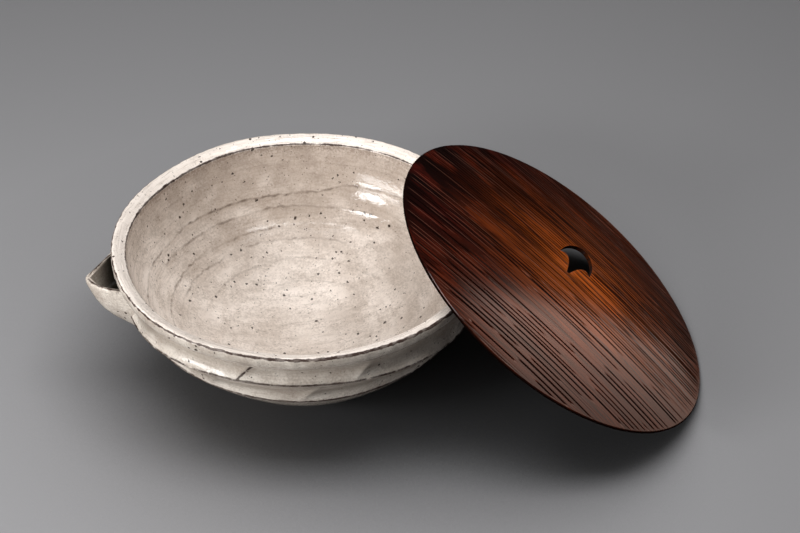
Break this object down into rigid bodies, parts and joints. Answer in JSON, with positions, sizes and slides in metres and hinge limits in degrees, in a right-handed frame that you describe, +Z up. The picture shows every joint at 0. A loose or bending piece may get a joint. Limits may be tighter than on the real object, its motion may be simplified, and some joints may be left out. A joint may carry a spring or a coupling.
{
  "type": "mizusashi water jar",
  "caption": "Flat spouted stoneware water jar for the tea room, with a thin domed lacquered wooden lid that leans on its rim and lifts off.",
  "frame": {"origin": "middle of the foot ring's resting face, on the bowl's axis", "axes": "+Z up along the bowl's axis, -X towards the spout, +Y to the far side when the spout is on the left"},
  "size_m": [0.4417, 0.3041, 0.1555],
  "materials": {
    "milky_glaze": "milky cream glaze with iron specks and brown edges",
    "bare_clay": "unglazed iron-bearing stoneware",
    "wiped_lacquer": "dark red-brown wiped lacquer over raised grain",
    "black_lacquer": "dark lacquer on bent wood"
  },
  "bodies": {
    "jar": {"bowl_body": "milky_glaze", "foot_ring": "bare_clay", "pouring_spout": "milky_glaze"},
    "lid": {"lid_board": "wiped_lacquer", "lid_locating_ring": "black_lacquer"}
  },
  "joints": [
    {"name": "lid_lift", "type": "slide", "parent": "jar", "child": "lid", "axis": [0, 0, 1], "range_m": [0, 0.15]}
  ]
}
